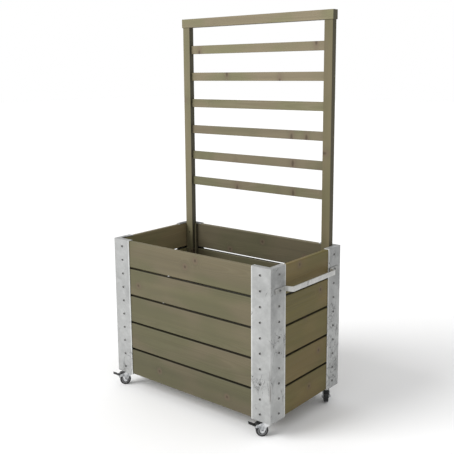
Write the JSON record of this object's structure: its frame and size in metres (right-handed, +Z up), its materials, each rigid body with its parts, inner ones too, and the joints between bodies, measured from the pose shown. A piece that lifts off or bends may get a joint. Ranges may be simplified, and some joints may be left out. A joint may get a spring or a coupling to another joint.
{
  "type": "wheeled wooden planter box with trellis",
  "caption": "Rectangular slatted timber planter box with steel corner angles, end handles, braked swivel casters and an upright ladder trellis for climbing plants.",
  "frame": {"origin": "on the floor, under the middle of the box", "axes": "+Z up; X along the long walls, +X towards the right end seen from the front; -Y is the front and the trellis stands at +Y"},
  "size_m": [0.94, 0.5593, 1.665],
  "materials": {
    "wall_wood": "planed pressure-treated pine, grey olive",
    "trellis_wood": "planed pressure-treated pine, lighter grey olive",
    "floor_wood": "sawn pressure-treated pine",
    "galvanised_steel": "hot-dip galvanised, cloudy and dull",
    "handle_steel": "hot-dip galvanised",
    "fastener_steel": "zinc plated",
    "caster_steel": "bright zinc plated pressings",
    "ball_steel": "hardened balls",
    "tyre_rubber": "black rubber",
    "hub_plastic": "dark grey moulded",
    "pedal_black": "black coated pressing"
  },
  "bodies": {
    "planter": {"front_board_1": "wall_wood", "front_board_2": "wall_wood", "front_board_3": "wall_wood", "front_board_4": "wall_wood", "front_board_5": "wall_wood", "back_board_1": "wall_wood", "back_board_2": "wall_wood", "back_board_3": "wall_wood", "back_board_4": "wall_wood", "back_board_5": "wall_wood", "left_board_1": "wall_wood", "left_board_2": "wall_wood", "left_board_3": "wall_wood", "left_board_4": "wall_wood", "left_board_5": "wall_wood", "right_board_1": "wall_wood", "right_board_2": "wall_wood", "right_board_3": "wall_wood", "right_board_4": "wall_wood", "right_board_5": "wall_wood", "corner_front_left": "galvanised_steel", "corner_front_right": "galvanised_steel", "corner_back_right": "galvanised_steel", "corner_back_left": "galvanised_steel", "handle_left": "handle_steel", "handle_right": "handle_steel", "trellis_post_left": "trellis_wood", "trellis_post_right": "trellis_wood", "trellis_top_rail": "trellis_wood", "trellis_rung_1": "trellis_wood", "trellis_rung_2": "trellis_wood", "trellis_rung_3": "trellis_wood", "trellis_rung_4": "trellis_wood", "trellis_rung_5": "trellis_wood", "trellis_rung_6": "trellis_wood", "trellis_cleats": "trellis_wood", "floor_bearers": "floor_wood", "floor_boards": "floor_wood", "corner_screws": "fastener_steel", "handle_bolts": "fastener_steel", "wood_screws": "fastener_steel", "caster_bolts": "fastener_steel", "caster_plates": "caster_steel", "swivel_balls": "ball_steel"},
    "caster_front_left": {"caster_fork_front_left": "caster_steel"},
    "wheel_front_left": {"caster_tyre_front_left": "tyre_rubber", "caster_hub_front_left": "hub_plastic"},
    "pedal_front_left": {"brake_pedal_front_left": "pedal_black"},
    "caster_front_right": {"caster_fork_front_right": "caster_steel"},
    "wheel_front_right": {"caster_tyre_front_right": "tyre_rubber", "caster_hub_front_right": "hub_plastic"},
    "pedal_front_right": {"brake_pedal_front_right": "pedal_black"},
    "caster_back_right": {"caster_fork_back_right": "caster_steel"},
    "wheel_back_right": {"caster_tyre_back_right": "tyre_rubber", "caster_hub_back_right": "hub_plastic"},
    "pedal_back_right": {"brake_pedal_back_right": "pedal_black"},
    "caster_back_left": {"caster_fork_back_left": "caster_steel"},
    "wheel_back_left": {"caster_tyre_back_left": "tyre_rubber", "caster_hub_back_left": "hub_plastic"},
    "pedal_back_left": {"brake_pedal_back_left": "pedal_black"}
  },
  "joints": [
    {"name": "swivel_front_left", "type": "hinge", "parent": "planter", "child": "caster_front_left", "pos_m": [-0.395, -0.21, 0.0605], "axis": [0, 0, 1], "continuous": true},
    {"name": "roll_front_left", "type": "hinge", "parent": "caster_front_left", "child": "wheel_front_left", "pos_m": [-0.41136, -0.23021, 0.025], "axis": [0.7771, -0.6293, 0], "continuous": true},
    {"name": "brake_front_left", "type": "hinge", "parent": "caster_front_left", "child": "pedal_front_left", "pos_m": [-0.42143, -0.24264, 0.0505], "axis": [0.7771, -0.6293, 0], "range_deg": [0, 10]},
    {"name": "swivel_front_right", "type": "hinge", "parent": "planter", "child": "caster_front_right", "pos_m": [0.395, -0.21, 0.0605], "axis": [0, 0, 1], "continuous": true},
    {"name": "roll_front_right", "type": "hinge", "parent": "caster_front_right", "child": "wheel_front_right", "pos_m": [0.37661, -0.22839, 0.025], "axis": [0.7071, -0.7071, 0], "continuous": true},
    {"name": "brake_front_right", "type": "hinge", "parent": "caster_front_right", "child": "pedal_front_right", "pos_m": [0.3653, -0.2397, 0.0505], "axis": [0.7071, -0.7071, 0], "range_deg": [0, 10]},
    {"name": "swivel_back_right", "type": "hinge", "parent": "planter", "child": "caster_back_right", "pos_m": [0.395, 0.21, 0.0605], "axis": [0, 0, 1], "continuous": true},
    {"name": "roll_back_right", "type": "hinge", "parent": "caster_back_right", "child": "wheel_back_right", "pos_m": [0.41101, 0.18951, 0.025], "axis": [0.788, 0.6157, 0], "continuous": true},
    {"name": "brake_back_right", "type": "hinge", "parent": "caster_back_right", "child": "pedal_back_right", "pos_m": [0.42086, 0.1769, 0.0505], "axis": [0.788, 0.6157, 0], "range_deg": [0, 10]},
    {"name": "swivel_back_left", "type": "hinge", "parent": "planter", "child": "caster_back_left", "pos_m": [-0.395, 0.21, 0.0605], "axis": [0, 0, 1], "continuous": true},
    {"name": "roll_back_left", "type": "hinge", "parent": "caster_back_left", "child": "wheel_back_left", "pos_m": [-0.41065, 0.23076, 0.025], "axis": [-0.7986, -0.6018, 0], "continuous": true},
    {"name": "brake_back_left", "type": "hinge", "parent": "caster_back_left", "child": "pedal_back_left", "pos_m": [-0.42028, 0.24354, 0.0505], "axis": [-0.7986, -0.6018, 0], "range_deg": [0, 10]}
  ]
}
